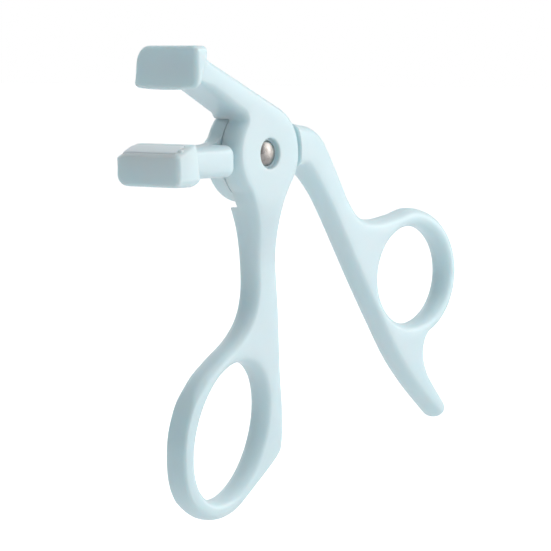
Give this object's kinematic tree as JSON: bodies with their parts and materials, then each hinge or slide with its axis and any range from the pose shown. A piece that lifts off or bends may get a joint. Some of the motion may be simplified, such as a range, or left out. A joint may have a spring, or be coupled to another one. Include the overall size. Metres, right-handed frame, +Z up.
{
  "type": "eyelash curler",
  "caption": "Scissor-type curler for part of a lash line: two moulded plastic levers riveted at a lapped hub, finger loops below, short jaws with a soft pad above.",
  "frame": {"origin": "on the ground under the middle of the overall box, with the tool upright on the end of its thumb loop", "axes": "+Z up, from the loops to the jaws; +X from the jaws towards the bent handle; +Y along the pivot, away from the rivet's domed head"},
  "size_m": [0.103, 0.017, 0.0987],
  "materials": {
    "lever_plastic": "satin, pale ice blue, slightly translucent",
    "pad_silicone": "soft matt silicone, grey blue",
    "rivet_metal": "polished"
  },
  "bodies": {
    "thumb_side": {"thumb_lever": "lever_plastic", "rivet": "rivet_metal", "rivet_cap": "rivet_metal"},
    "finger_side": {"finger_lever": "lever_plastic", "lash_pad": "pad_silicone"}
  },
  "joints": [
    {"name": "pivot", "type": "hinge", "parent": "thumb_side", "child": "finger_side", "pos_m": [-0.02124, -0.003, 0.07619], "axis": [0, 1, 0], "range_deg": [-37, 24.5]}
  ]
}
